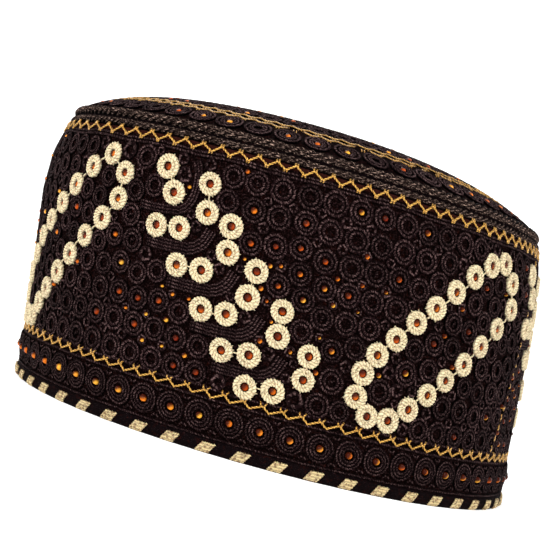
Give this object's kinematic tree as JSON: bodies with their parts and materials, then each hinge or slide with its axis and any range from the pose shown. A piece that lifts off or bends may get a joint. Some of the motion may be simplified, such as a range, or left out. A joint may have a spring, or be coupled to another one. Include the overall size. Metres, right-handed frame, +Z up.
{
  "type": "tubeteika skullcap",
  "caption": "Round stiff skullcap with an upright wall, low domed crown, corded seam, striped rim binding and raised ring embroidery.",
  "frame": {"origin": "under the middle of the cap's box, on the plane that the rim stands on", "axes": "+Z up from the rim to the crown, -Y towards the front shown in the picture, +X to that view's right"},
  "size_m": [0.1906, 0.1874, 0.1102],
  "materials": {
    "embroidered_cloth": "near-black cloth covered with dull twisted cord embroidery",
    "seam_cord": "dark brown-black twisted cord with grey-beige glints",
    "striped_binding": "black satin binding with slanted cream stripes",
    "cream_thread": "cream cotton thread, matte",
    "gold_thread": "metallic gold thread, half gloss",
    "amber_stone": "small round amber stones, glossy"
  },
  "bodies": {
    "root": {"rim_binding": "striped_binding", "lower_border": "embroidered_cloth", "side_wall": "embroidered_cloth", "wall_top_welt": "seam_cord", "crown_piping": "seam_cord", "crown_panel": "embroidered_cloth", "ring_loop_front_right": "cream_thread", "ring_loop_back_right": "cream_thread", "ring_loop_back_left": "cream_thread", "ring_loop_front_left": "cream_thread", "ring_pair_front_01": "cream_thread", "ring_pair_front_02": "cream_thread", "ring_pair_front_03": "cream_thread", "ring_pair_front_04": "cream_thread", "ring_pair_front_05": "cream_thread", "ring_pair_front_06": "cream_thread", "ring_pair_front_07": "cream_thread", "ring_pair_front_08": "cream_thread", "ring_pair_front_09": "cream_thread", "ring_pair_front_10": "cream_thread", "ring_pair_front_11": "cream_thread", "ring_pair_right_01": "cream_thread", "ring_pair_right_02": "cream_thread", "ring_pair_right_03": "cream_thread", "ring_pair_right_04": "cream_thread", "ring_pair_right_05": "cream_thread", "ring_pair_right_06": "cream_thread", "ring_pair_right_07": "cream_thread", "ring_pair_right_08": "cream_thread", "ring_pair_right_09": "cream_thread", "ring_pair_right_10": "cream_thread", "ring_pair_right_11": "cream_thread", "ring_pair_back_01": "cream_thread", "ring_pair_back_02": "cream_thread", "ring_pair_back_03": "cream_thread", "ring_pair_back_04": "cream_thread", "ring_pair_back_05": "cream_thread", "ring_pair_back_06": "cream_thread", "ring_pair_back_07": "cream_thread", "ring_pair_back_08": "cream_thread", "ring_pair_back_09": "cream_thread", "ring_pair_back_10": "cream_thread", "ring_pair_back_11": "cream_thread", "ring_pair_left_01": "cream_thread", "ring_pair_left_02": "cream_thread", "ring_pair_left_03": "cream_thread", "ring_pair_left_04": "cream_thread", "ring_pair_left_05": "cream_thread", "ring_pair_left_06": "cream_thread", "ring_pair_left_07": "cream_thread", "ring_pair_left_08": "cream_thread", "ring_pair_left_09": "cream_thread", "ring_pair_left_10": "cream_thread", "ring_pair_left_11": "cream_thread"}
  },
  "joints": []
}
